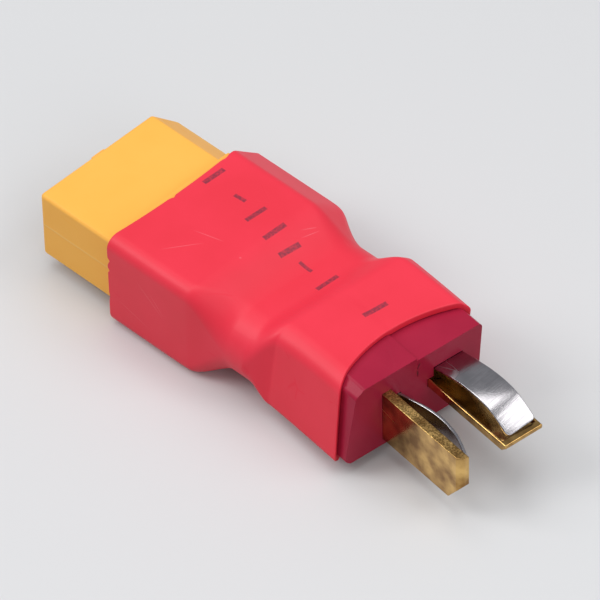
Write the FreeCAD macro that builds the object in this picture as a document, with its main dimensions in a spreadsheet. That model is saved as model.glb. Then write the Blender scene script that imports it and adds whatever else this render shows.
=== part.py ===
import FreeCAD, Part
import math
import os

import Sketcher

# A short adapter between two kinds of battery connector. A yellow shell holds two round socket
# contacts side by side, a dark red block holds two blades set a quarter turn apart, each with a
# bowed spring leaf, and a shrink sleeve covers the soldered joints between them.
#
# Frame, in millimetres: the origin is the middle of the shell's mating face, X runs along the
# adapter toward the blades, Y across it toward the shell's chamfered side, and Z is up.
# The blade end is turned a little about Z, as hand soldering left it.

SIZES = {
    # Shell: the nose that enters the mating connector, and the block behind its shoulder
    "nose_width": 14.6,
    "nose_height": 6.3,
    "nose_length": 8.0,
    "nose_chamfer_across": 2.66,
    "nose_chamfer_up": 2.5,
    "nose_edge_round": 0.35,
    "block_width": 15.6,
    "block_height": 8.1,
    "block_length": 8.0,
    "block_chamfer": 2.8,
    "block_bevel": 0.4,
    "block_edge_round": 0.3,
    # Gate stub: the mark that moulding left on the edge of the mating face
    "gate_place": -0.93,
    "gate_width": 1.3,
    "gate_height": 0.5,
    "gate_stand_out": 0.2,
    # Socket contacts, turned from bar: a bored tube, two lands with a groove, a solder cup
    "socket_pitch": 7.2,
    "bore_diameter": 3.5,
    "bore_depth": 8.4,
    "bore_lead_in": 0.25,
    "tube_wall": 0.55,
    "tube_length": 8.2,
    "mouth_lip": 0.8,
    "mouth_clearance": 0.27,
    "land_step": 0.3,
    "land_length": 1.5,
    "groove_length": 1.6,
    "cup_outer": 5.0,
    "cup_inner": 4.15,
    "cup_length": 4.5,
    "cup_depth": 3.5,
    "cup_slot_setback": 1.0,
    # Solder: the fill of a cup, and the bead between the cup and the blade's tail
    "bead_swell": 0.28,
    "bead_length": 1.9,
    "bead_taper": 1.2,
    "bead_tip": 1.2,
    # Blade end: its distance and turn, and the outline of its moulded block
    "solder_space": 9.25,
    "plug_turn": -7.2,
    "housing_length": 8.0,
    "housing_top": 3.5,
    "housing_bottom": 3.4,
    "near_foot": 6.75,
    "near_shoulder": 5.6,
    "near_bevel": 0.8,
    "far_foot": 6.05,
    "far_shoulder": 6.5,
    "housing_bevel": 0.5,
    "housing_edge_round": 0.45,
    "top_step": 0.22,
    "top_step_place": 0.2,
    # Blades: plated bar with a tray for the leaf, a raised rim round it, and a narrow tail
    "blade_reach": 8.94,
    "blade_seat": 5.0,
    "upright_width": 4.8,
    "upright_thickness": 0.86,
    "upright_side": -2.25,
    "upright_height": -0.48,
    "flat_width": 3.6,
    "flat_thickness": 0.79,
    "flat_side": 3.02,
    "flat_height": 0.64,
    "tray_depth": 0.29,
    "tray_rim": 0.25,
    "tip_lip": 0.6,
    "tip_bevel": 0.45,
    "corner_cut_along": 1.4,
    "corner_cut_across": 1.9,
    "upright_tail_width": 2.0,
    "flat_tail_width": 2.8,
    "tail_gap": 0.7,
    "tail_in_cup": 1.8,
    # Spring leaves: bowed strips that press on the mating contact
    "leaf_width": 2.7,
    "leaf_thickness": 0.25,
    "leaf_rise": 1.65,
    "leaf_sink": 0.07,
    "leaf_inset": 1.5,
    "leaf_play": 0.04,
    "flat_leaf_shift": 0.18,
    "upright_leaf_shift": 0.15,
    "pocket_play": 0.05,
    # Shrink sleeve: a thin tube that follows the shell, the waist and the blade block
    "sleeve_wall": 0.42,
    "front_setback": 0.6,
    "front_bow": 0.45,
    "overhang": 0.45,
    "waist_near_room": 1.25,
    "waist_far_room": 0.1,
    "waist_top_room": 0.18,
    "waist_near_bevel": 1.25,
    "waist_far_bevel": 1.6,
    "waist_round": 1.8,
    "waist_length": 1.6,
    "waist_shift": 0.9,
    "rear_setback": 3.3,
    "rear_bow_radius": 13.2,
    "rear_bow_side": 0.8,
    # Clearance between pieces that fit in each other
    "fit_gap": 0.02,
}

# Parametric document and its sheet of sizes

doc = FreeCAD.newDocument("battery_adapter")
sheet = doc.addObject("Spreadsheet::Sheet", "Sizes")
for row, (name, size) in enumerate(SIZES.items(), start=1):
    sheet.set("A%d" % row, name)
    sheet.set("B%d" % row, str(size))
    sheet.setAlias("B%d" % row, name)
doc.recompute()

# Places that several pieces share, as formulas of the sheet
SHELL_END = "(Sizes.nose_length + Sizes.block_length)"
PLUG_START = f"({SHELL_END} + Sizes.solder_space)"
PLUG_PLACE = f"placement(vector({PLUG_START}; 0; 0); rotation(vector(0; 0; 1); Sizes.plug_turn))"
BLADE_TIP = "(Sizes.housing_length + Sizes.blade_reach)"

# Contact lengths along X, from the mating face
TUBE_START = "Sizes.mouth_lip"
LAND_START = "(Sizes.mouth_lip + Sizes.tube_length)"
CUP_END = f"({SHELL_END} + Sizes.cup_length)"
CUP_FLOOR = f"({CUP_END} - Sizes.cup_depth)"
TUBE_RADIUS = "(Sizes.bore_diameter / 2 + Sizes.tube_wall)"
LAND_RADIUS = f"({TUBE_RADIUS} + Sizes.land_step)"

# Tails: the upright one stops short of its cup, the flat one lies in its cup on the cup's axis
UPRIGHT_TAIL = "(Sizes.solder_space - Sizes.cup_length - Sizes.tail_gap)"
FLAT_TAIL = "(Sizes.solder_space - Sizes.cup_length + Sizes.tail_in_cup)"
FLAT_TAIL_SIDE = (f"((Sizes.socket_pitch / 2 + {FLAT_TAIL} * sin(Sizes.plug_turn))"
                  " / cos(Sizes.plug_turn))")

# Leaf arc: its chord runs from inside the block to the lip at the blade's tip
LEAF_CHORD = "(Sizes.leaf_inset + Sizes.blade_reach - Sizes.tip_lip - Sizes.leaf_play)"
LEAF_HEIGHT = "(Sizes.leaf_rise + Sizes.leaf_sink)"
LEAF_RADIUS = f"((({LEAF_CHORD}) ^ 2 / 4 + {LEAF_HEIGHT} ^ 2) / (2 * {LEAF_HEIGHT}))"
LEAF_MIDDLE = f"(Sizes.housing_length - Sizes.leaf_inset + {LEAF_CHORD} / 2)"
LEAF_AT_FACE = (f"(Sizes.leaf_rise - {LEAF_RADIUS}"
                f" + sqrt({LEAF_RADIUS} ^ 2 - ({LEAF_CHORD} / 2 - Sizes.leaf_inset) ^ 2))")

# Half sizes of the waist: the sleeve sags there until the solder cups hold it out
WAIST_NEAR = "(Sizes.socket_pitch / 2 + Sizes.cup_outer / 2 + Sizes.waist_near_room)"
WAIST_FAR = "(Sizes.socket_pitch / 2 + Sizes.cup_outer / 2 + Sizes.waist_far_room)"
WAIST_TOP = "(Sizes.cup_outer / 2 + Sizes.waist_top_room)"

# Outlines across the adapter as (Y, Z) formulas, anticlockwise from the lower near corner

NOSE_OUTLINE = [
    ("-Sizes.nose_width / 2", "-Sizes.nose_height / 2"),
    ("Sizes.nose_width / 2 - Sizes.nose_chamfer_across", "-Sizes.nose_height / 2"),
    ("Sizes.nose_width / 2", "-Sizes.nose_height / 2 + Sizes.nose_chamfer_up"),
    ("Sizes.nose_width / 2", "Sizes.nose_height / 2 - Sizes.nose_chamfer_up"),
    ("Sizes.nose_width / 2 - Sizes.nose_chamfer_across", "Sizes.nose_height / 2"),
    ("-Sizes.nose_width / 2", "Sizes.nose_height / 2"),
]

BLOCK_OUTLINE = [
    ("-Sizes.block_width / 2", "-Sizes.block_height / 2 + Sizes.block_bevel"),
    ("-Sizes.block_width / 2 + Sizes.block_bevel", "-Sizes.block_height / 2"),
    ("Sizes.block_width / 2 - Sizes.block_chamfer", "-Sizes.block_height / 2"),
    ("Sizes.block_width / 2", "-Sizes.block_height / 2 + Sizes.block_chamfer"),
    ("Sizes.block_width / 2", "Sizes.block_height / 2 - Sizes.block_chamfer"),
    ("Sizes.block_width / 2 - Sizes.block_chamfer", "Sizes.block_height / 2"),
    ("-Sizes.block_width / 2 + Sizes.block_bevel", "Sizes.block_height / 2"),
    ("-Sizes.block_width / 2", "Sizes.block_height / 2 - Sizes.block_bevel"),
]

HOUSING_OUTLINE = [
    ("-Sizes.near_foot", "-Sizes.housing_bottom + Sizes.housing_bevel"),
    ("-Sizes.near_foot + Sizes.housing_bevel", "-Sizes.housing_bottom"),
    ("Sizes.far_foot - Sizes.housing_bevel", "-Sizes.housing_bottom"),
    ("Sizes.far_foot", "-Sizes.housing_bottom + Sizes.housing_bevel"),
    ("Sizes.far_shoulder", "Sizes.housing_top - Sizes.housing_bevel"),
    ("Sizes.far_shoulder - Sizes.housing_bevel", "Sizes.housing_top"),
    ("-Sizes.near_shoulder + Sizes.near_bevel", "Sizes.housing_top"),
    ("-Sizes.near_shoulder", "Sizes.housing_top - Sizes.housing_bevel"),
]

WAIST_OUTLINE = [
    (f"-{WAIST_NEAR}", f"-{WAIST_TOP} + Sizes.waist_near_bevel"),
    (f"-{WAIST_NEAR} + Sizes.waist_near_bevel", f"-{WAIST_TOP}"),
    (f"{WAIST_FAR} - Sizes.waist_far_bevel", f"-{WAIST_TOP}"),
    (WAIST_FAR, f"-{WAIST_TOP} + Sizes.waist_far_bevel"),
    (WAIST_FAR, f"{WAIST_TOP} - Sizes.waist_far_bevel"),
    (f"{WAIST_FAR} - Sizes.waist_far_bevel", WAIST_TOP),
    (f"-{WAIST_NEAR} + Sizes.waist_near_bevel", WAIST_TOP),
    (f"-{WAIST_NEAR}", f"{WAIST_TOP} - Sizes.waist_near_bevel"),
]

# Where the sleeve's sections lie on each slope, as shares of it counted from the block that the
# slope leaves, and the powers that bend its sides: they fold in at a block's edge at once and
# level out toward the waist, while the top and the bottom bend smoothly
SLEEVE_SHARES = (0, 0.15, 0.35, 0.65, 1)
SAG_POWER = 1.8
RISE_POWER = 1.45

# Sketches and features


def number(formula):
    """The value of one formula of the sheet."""
    return float(sheet.evalExpression(formula))


def new_body(name):
    """A body named and labelled as its piece."""
    body = doc.addObject("PartDesign::Body", name)
    body.Label = name
    return body


def plane_of(body, role):
    """The origin plane of the body that has this role."""
    return next(plane for plane in body.Origin.OriginFeatures if plane.Role == role)


def outline_sketch(body, role, name, corners, level="0", shift="0"):
    """A closed polygon, each corner two formulas, on an origin plane raised and shifted by two more."""
    sketch = body.newObject("Sketcher::SketchObject", name)
    sketch.AttachmentSupport = [(plane_of(body, role), "")]
    sketch.MapMode = "FlatFace"
    sketch.setExpression("AttachmentOffset.Base.z", level)
    sketch.setExpression("AttachmentOffset.Base.y", shift)
    points = [FreeCAD.Vector(number(a), number(b), 0) for a, b in corners]
    for point, following in zip(points, points[1:] + points[:1]):
        sketch.addGeometry(Part.LineSegment(point, following), False)
    for side in range(len(corners)):
        sketch.addConstraint(
            Sketcher.Constraint("Coincident", side, 2, (side + 1) % len(corners), 1))
    for side, (point, corner) in enumerate(zip(points, corners)):
        for direction, at, formula in zip(("DistanceX", "DistanceY"), point, corner):
            index = sketch.addConstraint(Sketcher.Constraint(direction, -1, 1, side, 1, at))
            sketch.setExpression("Constraints[%d]" % index, formula)
    return sketch


def rectangle(left, right, low, high):
    """The four corners between two formulas across and two up."""
    return [(left, low), (right, low), (right, high), (left, high)]


def pad(body, name, sketch, length, reverse=False):
    """A pad of the sketch along its plane's normal, or against it."""
    feature = body.newObject("PartDesign::Pad", name)
    feature.Profile = sketch
    feature.setExpression("Length", length)
    feature.Reversed = reverse
    return feature


def pocket(body, name, sketch, depth=None, midplane=False):
    """A pocket into the solid behind the sketch, to a depth or right through."""
    feature = body.newObject("PartDesign::Pocket", name)
    feature.Profile = sketch
    feature.Midplane = midplane
    if depth is None:
        feature.Type = "ThroughAll"
    else:
        feature.setExpression("Length", depth)
    return feature


def turned(body, kind, name, sketch):
    """A full revolution or groove of the sketch about its own horizontal axis."""
    feature = body.newObject("PartDesign::" + kind, name)
    feature.Profile = sketch
    feature.ReferenceAxis = (sketch, ["H_Axis"])
    feature.Angle = 360.0
    return feature


def dressed(body, kind, name, size_name, size, wanted):
    """A fillet or chamfer on the straight edges of the solid so far that the test picks out."""
    doc.recompute()
    base = body.Tip
    edges = ["Edge%d" % (index + 1) for index, edge in enumerate(base.Shape.Edges)
             if not edge.Degenerated and isinstance(edge.Curve, Part.Line) and wanted(edge)]
    feature = body.newObject("PartDesign::" + kind, name)
    feature.Base = (base, edges)
    feature.setExpression(size_name, size)
    return feature


def reach(edge):
    """Where along X an edge begins and ends."""
    return min(v.X for v in edge.Vertexes), max(v.X for v in edge.Vertexes)


def runs_along(edge):
    """Whether an edge lies along X."""
    start, end = reach(edge)
    return end - start > 0.9 * edge.Length


# Socket shell: nose and block, each with two chamfered corners on the far side


def contact_hole():
    """The profile of a contact's hole: narrow at the mouth, wider behind, for a contact put in from
    the back."""
    mouth = "(Sizes.bore_diameter / 2 + Sizes.mouth_clearance)"
    tube = f"({TUBE_RADIUS} + Sizes.fit_gap)"
    land = f"({LAND_RADIUS} + Sizes.fit_gap)"
    lip = f"({TUBE_START} - Sizes.fit_gap)"
    stop = f"({LAND_START} - Sizes.fit_gap)"
    before = "(-Sizes.gate_stand_out - Sizes.fit_gap)"
    behind = f"({SHELL_END} + Sizes.fit_gap)"
    return [(before, "0"), (behind, "0"), (behind, land), (stop, land),
            (stop, tube), (lip, tube), (lip, mouth), (before, mouth)]


def build_shell():
    """The shell: the nose on its block, the two contact holes, and the gate stub."""
    body = new_body("socket_shell")
    block = outline_sketch(body, "YZ_Plane", "block_outline", BLOCK_OUTLINE, "Sizes.nose_length")
    pad(body, "block", block, "Sizes.block_length")
    nose = outline_sketch(body, "YZ_Plane", "nose_outline", NOSE_OUTLINE)
    pad(body, "nose", nose, "Sizes.nose_length")

    shoulder = number("Sizes.nose_length")
    dressed(body, "Fillet", "nose_rounds", "Radius", "Sizes.nose_edge_round",
            lambda edge: reach(edge)[0] < shoulder / 2)
    dressed(body, "Fillet", "block_rounds", "Radius", "Sizes.block_edge_round",
            lambda edge: reach(edge)[0] > shoulder / 2 and runs_along(edge))

    profile = outline_sketch(body, "XY_Plane", "contact_hole_profile", contact_hole(),
                             shift="Sizes.socket_pitch / 2")
    hole = turned(body, "Groove", "far_contact_hole", profile)
    doc.recompute()
    holes = body.newObject("PartDesign::Mirrored", "contact_holes")
    holes.Originals = [hole]
    holes.MirrorPlane = (plane_of(body, "XZ_Plane"), [""])
    body.Tip = holes
    doc.recompute()

    top = "(Sizes.nose_height / 2 - Sizes.nose_edge_round)"
    gate = outline_sketch(body, "YZ_Plane", "gate_outline", rectangle(
        "Sizes.gate_place - Sizes.gate_width / 2", "Sizes.gate_place + Sizes.gate_width / 2",
        f"{top} - Sizes.gate_height", top))
    pad(body, "gate_stub", gate, "Sizes.gate_stand_out", reverse=True)
    return body


# Socket contacts


def build_contact(name, side):
    """A turned contact with its axis at this side of the shell."""
    body = new_body(name)
    bore = "Sizes.bore_diameter / 2"
    groove = f"({LAND_START} + Sizes.land_length)"
    rear_land = f"({groove} + Sizes.groove_length)"
    bore_end = f"({TUBE_START} + Sizes.bore_depth)"
    profile = outline_sketch(body, "XY_Plane", name + "_profile", [
        (TUBE_START, f"{bore} + Sizes.bore_lead_in"),
        (TUBE_START, TUBE_RADIUS),
        (LAND_START, TUBE_RADIUS),
        (LAND_START, LAND_RADIUS),
        (groove, LAND_RADIUS),
        (groove, TUBE_RADIUS),
        (rear_land, TUBE_RADIUS),
        (rear_land, LAND_RADIUS),
        (SHELL_END, LAND_RADIUS),
        (SHELL_END, "Sizes.cup_outer / 2"),
        (CUP_END, "Sizes.cup_outer / 2"),
        (CUP_END, "Sizes.cup_inner / 2"),
        (CUP_FLOOR, "Sizes.cup_inner / 2"),
        (CUP_FLOOR, "0"),
        (f"{bore_end} + {bore} / 2", "0"),
        (bore_end, bore),
        (f"{TUBE_START} + Sizes.bore_lead_in", bore),
    ])
    turned(body, "Revolution", name + "_bar", profile)
    doc.recompute()
    slot = outline_sketch(body, "XZ_Plane", name + "_cup_slot_outline", rectangle(
        f"{SHELL_END} + Sizes.cup_slot_setback", f"{CUP_END} + Sizes.fit_gap",
        "Sizes.cup_inner / 4", "Sizes.cup_outer / 2 + Sizes.fit_gap"))
    pocket(body, name + "_cup_slot", slot, midplane=True)
    body.setExpression("Placement.Base.y", side)
    return body


# Blades, each drawn in its own frame: X along it, Y across it, Z out of its leaf side


def build_blade(name, width, thickness, tail, tail_width, tail_side, cut_corner, place):
    """A blade with its tray and tail, its leaf side at level zero."""
    body = new_body(name)
    half = f"{width} / 2"
    shoulder = "(Sizes.housing_length - Sizes.blade_seat)"
    front = [(BLADE_TIP, f"-{half}"), (BLADE_TIP, half)]
    if cut_corner:
        front = [(BLADE_TIP, f"-{half}"),
                 (BLADE_TIP, f"{half} - Sizes.corner_cut_across"),
                 (f"{BLADE_TIP} - Sizes.corner_cut_along", half)]
    strip = outline_sketch(body, "XY_Plane", name + "_outline", [
        (f"-{tail}", f"{tail_side} - {tail_width} / 2"),
        (shoulder, f"{tail_side} - {tail_width} / 2"),
        (shoulder, f"-{half}"),
        *front,
        (shoulder, half),
        (shoulder, f"{tail_side} + {tail_width} / 2"),
        (f"-{tail}", f"{tail_side} + {tail_width} / 2"),
    ])
    pad(body, name + "_strip", strip, thickness, reverse=True)
    tip = FreeCAD.Vector(number(BLADE_TIP), 0, -number(thickness))
    dressed(body, "Chamfer", name + "_tip_bevel", "Size", "Sizes.tip_bevel",
            lambda edge: all(abs(v.X - tip.x) + abs(v.Z - tip.z) < 1e-6 for v in edge.Vertexes))
    doc.recompute()
    tray = outline_sketch(body, "XY_Plane", name + "_tray_outline", rectangle(
        "Sizes.housing_length - Sizes.leaf_inset - Sizes.leaf_play",
        f"{BLADE_TIP} - Sizes.tip_lip",
        f"-{half} + Sizes.tray_rim", f"{half} - Sizes.tray_rim"))
    pocket(body, name + "_tray", tray, "Sizes.tray_depth")
    body.setExpression("Placement", place)
    return body


# Spring leaves, drawn about the axis of their bow


def build_leaf(name, place, shift):
    """A bowed strip: its cross-section turned about the axis of the bow, a little off the middle
    of its blade."""
    body = new_body(name)
    section = outline_sketch(body, "YZ_Plane", name + "_section", rectangle(
        "-Sizes.leaf_width / 2", "Sizes.leaf_width / 2",
        f"{LEAF_RADIUS} - Sizes.leaf_thickness", LEAF_RADIUS))
    bow = turned(body, "Revolution", name + "_bow", section)
    bow.Midplane = True
    bow.setExpression("Angle", f"2 * asin({LEAF_CHORD} / 2 / {LEAF_RADIUS})")
    body.setExpression(
        "Placement",
        f"{place} * placement(vector({LEAF_MIDDLE}; {shift}; Sizes.leaf_rise - {LEAF_RADIUS});"
        " rotation(vector(0; 0; 1); 0))")
    return body


# Blade block: a moulded outline with a low step in its top and a seat for each blade


def cut_seat(body, name, across, up, deep=None):
    """A rectangular seat cut in from the block's face, to a depth or right through."""
    outline = outline_sketch(body, "YZ_Plane", name + "_outline", rectangle(*across, *up),
                             "Sizes.housing_length")
    pocket(body, name, outline, deep)
    doc.recompute()


def about(middle, width, play):
    """The two sides of a gap about a middle, wider than the piece in it by a play on each side."""
    return (f"{middle} - {width} / 2 - {play}", f"{middle} + {width} / 2 + {play}")


def build_housing():
    """The block that holds both blades, with room for each leaf to bend."""
    body = new_body("plug_housing")
    outline = outline_sketch(body, "YZ_Plane", "housing_outline", HOUSING_OUTLINE)
    pad(body, "housing_block", outline, "Sizes.housing_length")
    dressed(body, "Fillet", "housing_rounds", "Radius", "Sizes.housing_edge_round", runs_along)

    play = "Sizes.fit_gap"
    seat = f"(Sizes.blade_seat + {play})"
    leaf_seat = "(Sizes.leaf_inset + Sizes.leaf_play)"
    spring_room = f"({LEAF_AT_FACE} + Sizes.pocket_play)"

    flat_up = (f"Sizes.flat_height - Sizes.flat_thickness - {play}", f"Sizes.flat_height + {play}")
    cut_seat(body, "flat_seat", about("Sizes.flat_side", "Sizes.flat_width", play), flat_up, seat)
    cut_seat(body, "flat_tail_slot", about(FLAT_TAIL_SIDE, "Sizes.flat_tail_width", play), flat_up)
    cut_seat(body, "flat_leaf_pocket",
             about("Sizes.flat_side + Sizes.flat_leaf_shift", "Sizes.leaf_width",
                   "Sizes.pocket_play"),
             ("Sizes.flat_height", f"Sizes.flat_height + {spring_room}"), leaf_seat)

    upright_across = (f"Sizes.upright_side - Sizes.upright_thickness - {play}",
                      f"Sizes.upright_side + {play}")
    cut_seat(body, "upright_seat", upright_across,
             about("Sizes.upright_height", "Sizes.upright_width", play), seat)
    cut_seat(body, "upright_tail_slot", upright_across, about("0", "Sizes.upright_tail_width", play))
    cut_seat(body, "upright_leaf_pocket",
             ("Sizes.upright_side", f"Sizes.upright_side + {spring_room}"),
             about("Sizes.upright_height + Sizes.upright_leaf_shift", "Sizes.leaf_width",
                   "Sizes.pocket_play"), leaf_seat)

    cut_seat(body, "far_top_step", ("Sizes.top_step_place", "Sizes.far_shoulder"),
             ("Sizes.housing_top - Sizes.top_step", "Sizes.housing_top + Sizes.fit_gap"))
    body.setExpression("Placement", PLUG_PLACE)
    return body


# Solder: the fill of a cup and the bead beyond it, cut to the blade's tail


def build_solder(name, side, blade):
    """The solder between one contact's cup and one blade."""
    bead = new_body(name + "_bead")
    fill = "Sizes.cup_inner / 2 - Sizes.fit_gap"
    swell = "Sizes.cup_inner / 2 + Sizes.bead_swell"
    floor = f"{CUP_FLOOR} + Sizes.fit_gap"
    lip = f"{CUP_END} + Sizes.fit_gap"
    full = f"{CUP_END} + Sizes.bead_length"
    profile = outline_sketch(bead, "XY_Plane", name + "_profile", [
        (floor, "0"), (f"{full} + Sizes.bead_taper", "0"),
        (f"{full} + Sizes.bead_taper", "Sizes.bead_tip"), (full, swell),
        (lip, swell), (lip, fill), (floor, fill)])
    turned(bead, "Revolution", name + "_fill", profile)
    bead.setExpression("Placement.Base.y", side)
    doc.recompute()
    solder = doc.addObject("Part::Cut", name)
    solder.Label = name
    solder.Base = bead
    solder.Tool = blade
    return solder


# Shrink sleeve: rounded sections that follow what it was shrunk on


def grown(corners, distance):
    """A convex outline with each side moved outward by the distance."""
    sides = []
    for (y0, z0), (y1, z1) in zip(corners, corners[1:] + corners[:1]):
        length = math.hypot(y1 - y0, z1 - z0)
        out_y, out_z = (z1 - z0) / length, (y0 - y1) / length
        sides.append((out_y, out_z, out_y * y0 + out_z * z0 + distance))
    moved = []
    for (ay, az, a), (by, bz, b) in zip(sides[-1:] + sides[:-1], sides):
        cross = ay * bz - az * by
        moved.append(((a * bz - b * az) / cross, (ay * b - by * a) / cross))
    return moved


def smooth(share):
    """A share that starts and ends level: three squares less two cubes."""
    return share * share * (3 - 2 * share)


def blended(first, second, across, up):
    """The corners between two outlines, at these shares of the way to the second."""
    return [(y + (other_y - y) * across, z + (other_z - z) * up)
            for (y, z), (other_y, other_z) in zip(first, second)]


def rounded_wire(corners, radius, place):
    """A closed wire with an arc at each corner and a straight run between them, put in its place."""
    points = [FreeCAD.Vector(0, y, z) for y, z in corners]
    arcs = []
    for before, corner, after in zip(points[-1:] + points[:-1], points, points[1:] + points[:1]):
        back = (before - corner).normalize()
        ahead = (after - corner).normalize()
        half_turn = (math.pi - back.getAngle(ahead)) / 2
        tangent = radius * math.tan(half_turn)
        inward = (back + ahead).normalize() * radius * (1 / math.cos(half_turn) - 1)
        arcs.append((corner + back * tangent, corner + inward, corner + ahead * tangent))
    edges = []
    for arc, following in zip(arcs, arcs[1:] + arcs[:1]):
        edges.append(Part.Arc(*arc).toShape())
        edges.append(Part.LineSegment(arc[2], following[0]).toShape())
    wire = Part.Wire(edges)
    wire.Placement = place
    return wire


def station(x, y, turn):
    """The place of a section across the adapter, at a point of its axis and a turn about Z."""
    return FreeCAD.Placement(
        FreeCAD.Vector(x, y, 0), FreeCAD.Rotation(FreeCAD.Vector(0, 0, 1), turn))


def sleeve_solid(outset):
    """The solid inside one face of the sleeve, which lies this far outside what holds it."""
    block, waist, housing = (
        grown([(number(y), number(z)) for y, z in outline], outset)
        for outline in (BLOCK_OUTLINE, WAIST_OUTLINE, HOUSING_OUTLINE))
    block_round, waist_round, housing_round = (
        number(f"Sizes.{name}") + outset
        for name in ("block_edge_round", "waist_round", "housing_edge_round"))
    overhang = number("Sizes.overhang")
    turn = number("Sizes.plug_turn")
    front = number("Sizes.nose_length + Sizes.front_setback - Sizes.front_bow")
    leave = number(SHELL_END) + overhang
    middle = number(f"{SHELL_END} + Sizes.solder_space / 2 + Sizes.waist_shift")
    waist_start = middle - number("Sizes.waist_length / 2")
    waist_end = middle + number("Sizes.waist_length / 2")
    plug = station(number(PLUG_START), 0, turn)
    meet = plug.multVec(FreeCAD.Vector(-overhang, 0, 0))
    rear = plug.multVec(FreeCAD.Vector(number("Sizes.housing_length"), 0, 0))

    wires = [rounded_wire(block, block_round, station(front, 0, 0))]
    for share in SLEEVE_SHARES:
        sag = 1 - (1 - share) ** SAG_POWER
        wires.append(rounded_wire(
            blended(block, waist, sag, smooth(share)), block_round + (waist_round - block_round) * sag,
            station(leave + (waist_start - leave) * share, 0, turn / 2 * share)))
    for share in [1 - share for share in reversed(SLEEVE_SHARES)]:
        rise = share ** RISE_POWER
        wires.append(rounded_wire(
            blended(waist, housing, rise, smooth(share)), waist_round + (housing_round - waist_round) * rise,
            station(waist_end + (meet.x - waist_end) * share, meet.y * share,
                    turn / 2 * (1 + share))))
    wires.append(rounded_wire(housing, housing_round, station(rear.x, rear.y, turn)))
    return Part.makeLoft(wires, True, True)


def upright_cylinder(x, y, radius, place):
    """A cylinder on a vertical axis, taller than the sleeve, to bow one of its rims."""
    tall = number("Sizes.block_height + 4 * Sizes.sleeve_wall")
    tool = Part.makeCylinder(radius, tall, FreeCAD.Vector(x, y, -tall / 2))
    tool.Placement = place.multiply(tool.Placement)
    return tool


def build_sleeve():
    """The sleeve: the solid inside its outer face, less the one inside its inner face, with both
    rims bowed back in the middle."""
    gap = number("Sizes.fit_gap")
    wall = number("Sizes.sleeve_wall")
    shape = sleeve_solid(gap + wall).cut(sleeve_solid(gap))

    bow = number("Sizes.front_bow")
    half_width = number("Sizes.block_width / 2") + gap + wall
    radius = (half_width ** 2 + bow ** 2) / (2 * bow)
    rim = number("Sizes.nose_length + Sizes.front_setback")
    shape = shape.cut(upright_cylinder(rim - radius, 0, radius, station(0, 0, 0)))

    radius = number("Sizes.rear_bow_radius")
    rim = number("Sizes.housing_length - Sizes.rear_setback")
    plug = station(number(PLUG_START), 0, number("Sizes.plug_turn"))
    side = number("Sizes.rear_bow_side")
    shape = shape.cut(upright_cylinder(rim + radius, side, radius, plug))

    feature = doc.addObject("Part::Feature", "shrink_sleeve")
    feature.Label = "shrink_sleeve"
    feature.Shape = shape
    return feature


# The adapter

NEAR_AXIS = "-Sizes.socket_pitch / 2"
FAR_AXIS = "Sizes.socket_pitch / 2"
UPRIGHT_PLACE = (f"{PLUG_PLACE} * placement(vector(0; Sizes.upright_side; Sizes.upright_height);"
                 " rotation(vector(1; 0; 0); -90))")
FLAT_PLACE = (f"{PLUG_PLACE} * placement(vector(0; Sizes.flat_side; Sizes.flat_height);"
              " rotation(vector(1; 0; 0); 0))")

shell = build_shell()
near_contact = build_contact("near_contact", NEAR_AXIS)
far_contact = build_contact("far_contact", FAR_AXIS)
housing = build_housing()
upright_blade = build_blade(
    "upright_blade", "Sizes.upright_width", "Sizes.upright_thickness",
    UPRIGHT_TAIL, "Sizes.upright_tail_width", "Sizes.upright_height", True, UPRIGHT_PLACE)
flat_blade = build_blade(
    "flat_blade", "Sizes.flat_width", "Sizes.flat_thickness",
    FLAT_TAIL, "Sizes.flat_tail_width", f"({FLAT_TAIL_SIDE} - Sizes.flat_side)", False, FLAT_PLACE)
upright_leaf = build_leaf("upright_leaf", UPRIGHT_PLACE, "-Sizes.upright_leaf_shift")
flat_leaf = build_leaf("flat_leaf", FLAT_PLACE, "Sizes.flat_leaf_shift")
near_solder = build_solder("near_solder", NEAR_AXIS, upright_blade)
far_solder = build_solder("far_solder", FAR_AXIS, flat_blade)
sleeve = build_sleeve()
doc.recompute()

# Nothing is written unless every feature was made and every piece is one valid solid

failed = [item.Name for item in doc.Objects if {"Invalid", "Error"} & set(item.State)]
if failed:
    raise RuntimeError("features that failed: " + ", ".join(failed))

PIECES = [shell, near_contact, far_contact, near_solder, far_solder, housing,
          upright_blade, flat_blade, upright_leaf, flat_leaf, sleeve]
for piece in PIECES:
    shape = piece.Shape
    if shape.isNull() or not shape.isValid() or len(shape.Solids) != 1:
        raise RuntimeError(f"{piece.Label} is not one valid solid")

os.makedirs("parts", exist_ok=True)
for piece in PIECES:
    piece.Shape.exportStep(f"parts/{piece.Label}.step")
    box = piece.Shape.BoundBox
    print(f"{piece.Label}: {piece.Shape.Volume:.1f} mm3, X {box.XMin:.2f} to {box.XMax:.2f}, "
          f"Y {box.YMin:.2f} to {box.YMax:.2f}, Z {box.ZMin:.2f} to {box.ZMax:.2f}")
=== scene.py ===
# %% [markdown]
# # A battery connector adapter, dressed for a close-up
#
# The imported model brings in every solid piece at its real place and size. This script gives the
# pieces their finishes, makes the shrink sleeve and the spring leaves anew as fine surfaces, and
# sets up a pale floor, soft lamps and a camera. Lengths are worked out in millimetres, because
# the object is only 43 mm long, and become metres when a mesh is made.

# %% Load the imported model
import math

import bpy
import numpy as np
from mathutils import Matrix, Vector


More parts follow.
